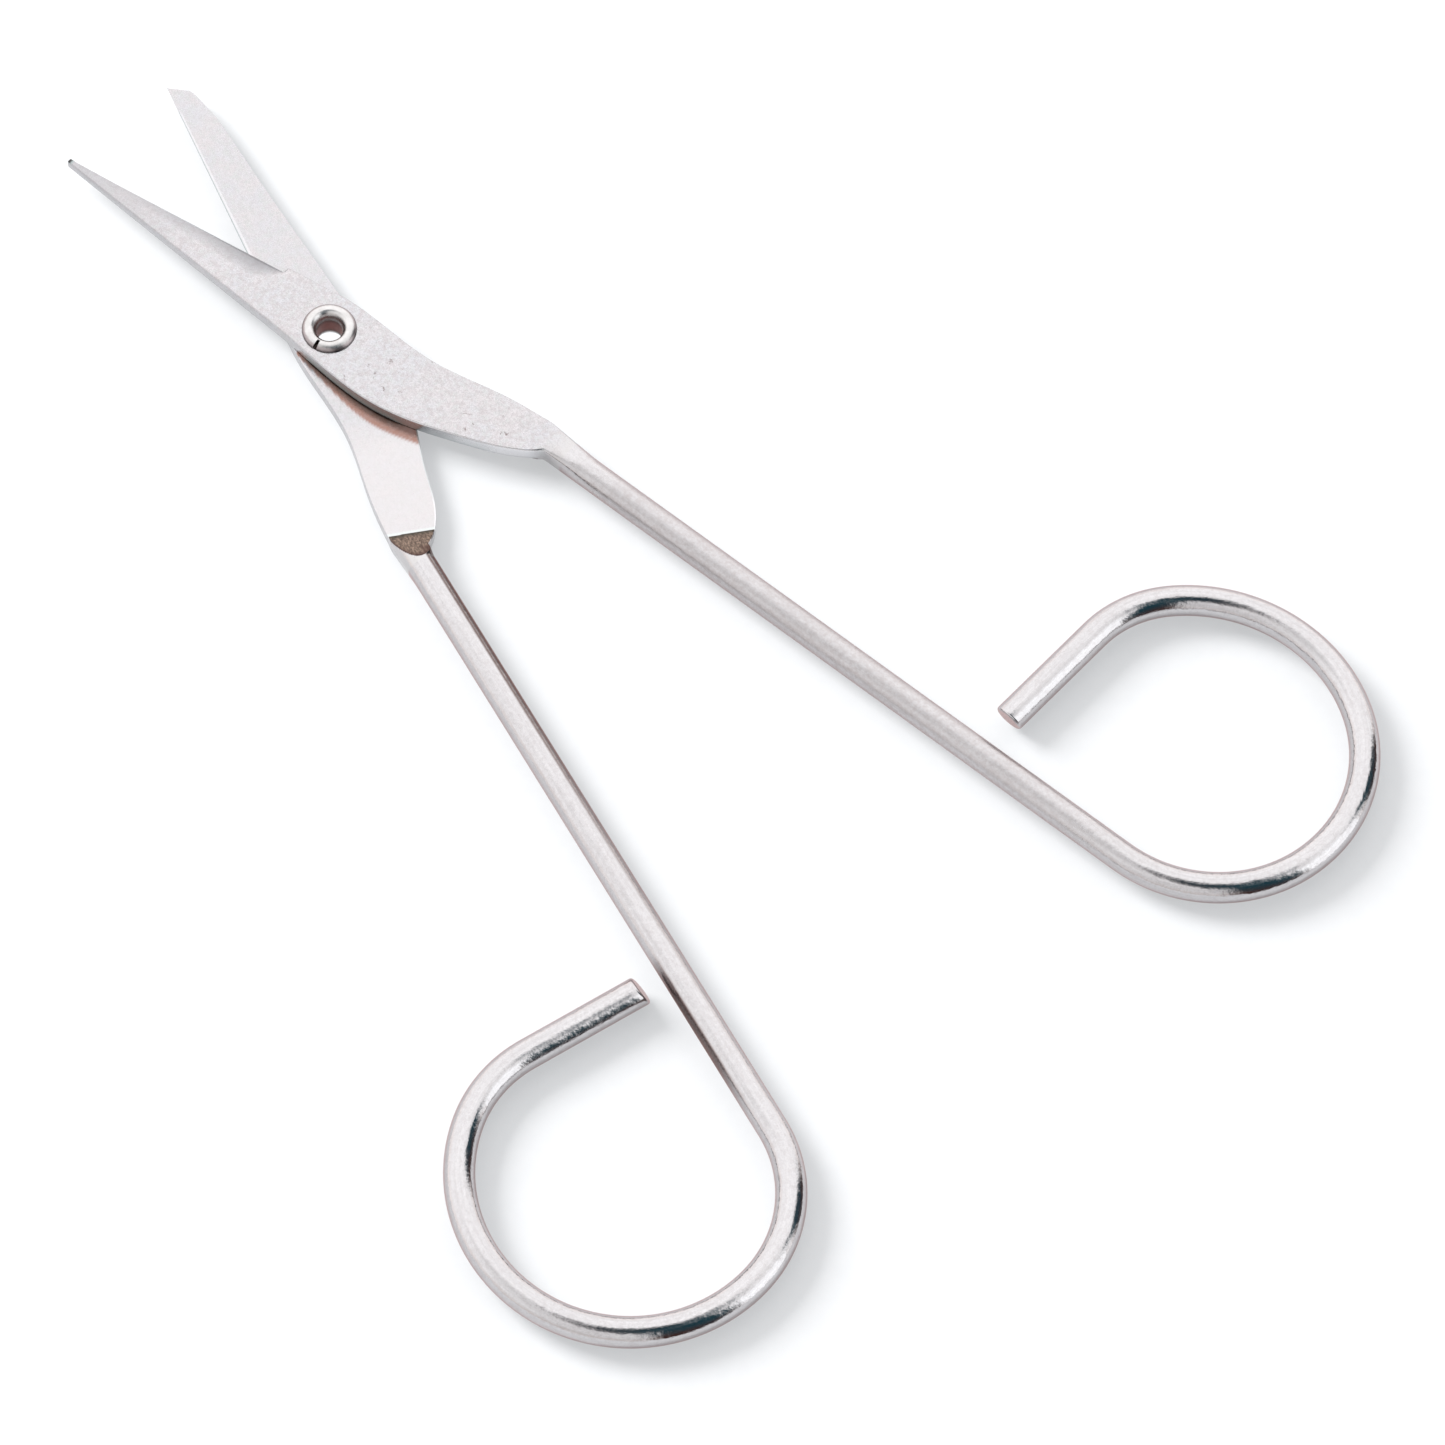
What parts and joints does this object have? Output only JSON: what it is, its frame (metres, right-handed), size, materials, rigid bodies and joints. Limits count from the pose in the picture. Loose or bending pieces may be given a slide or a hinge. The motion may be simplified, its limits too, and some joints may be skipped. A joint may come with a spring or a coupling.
{
  "type": "thread snips",
  "caption": "Small wire-handled thread snips: a pointed and a blunt forged steel blade crossing on a hollow rivet, with round-wire shanks bent into open finger loops.",
  "frame": {"origin": "centre of the hollow rivet's bore, half way between the two blades", "axes": "+Z along the bore, out of the front arm's face; +X from the pivot towards the finger loops, halving the angle between the open arms; +Y towards the front arm's finger loop"},
  "size_m": [0.1094, 0.0833, 0.0034],
  "materials": {
    "blade_satin": "satin tumbled nickel plate on steel",
    "wire_bright": "bright nickel plate on drawn wire",
    "eyelet_bright": "bright nickel plate on rolled steel"
  },
  "bodies": {
    "rear_arm": {"rear_blade": "blade_satin", "rear_handle": "wire_bright", "pivot_eyelet": "eyelet_bright"},
    "front_arm": {"front_blade": "blade_satin", "front_handle": "wire_bright"}
  },
  "joints": [
    {"name": "blade_pivot", "type": "hinge", "parent": "rear_arm", "child": "front_arm", "pos_m": [0, 0, 0], "axis": [0, 0, 1], "range_deg": [-24.7, 138]}
  ]
}
